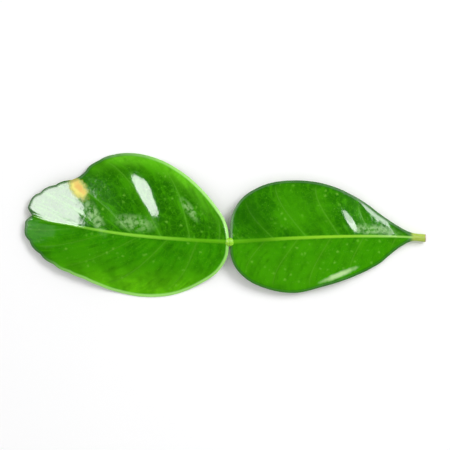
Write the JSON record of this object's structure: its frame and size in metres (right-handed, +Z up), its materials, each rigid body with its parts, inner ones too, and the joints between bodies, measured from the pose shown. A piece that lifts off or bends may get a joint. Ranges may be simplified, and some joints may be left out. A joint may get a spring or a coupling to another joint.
{
  "type": "lime leaf sprig",
  "caption": "Picked double leaf of a makrut lime: an oval glossy blade jointed end to end with its winged leaf stalk, lying face up on its margins and its cut end.",
  "frame": {"origin": "on the surface that the leaf lies on, under the middle of its bounding box", "axes": "+X along the leaf from the blade's tip towards the cut end of the stalk, +Z up out of the leaf's glossy face"},
  "size_m": [0.1208, 0.0434, 0.0065],
  "materials": {
    "blade_skin": "deep green waxy leaf skin, glossy above and paler and duller below",
    "stalk_skin": "green waxy leaf skin, a little lighter than the blade, with a pale yellow-green rib and cut end"
  },
  "bodies": {
    "root": {"leaf_blade": "blade_skin", "winged_stalk": "stalk_skin"}
  },
  "joints": []
}
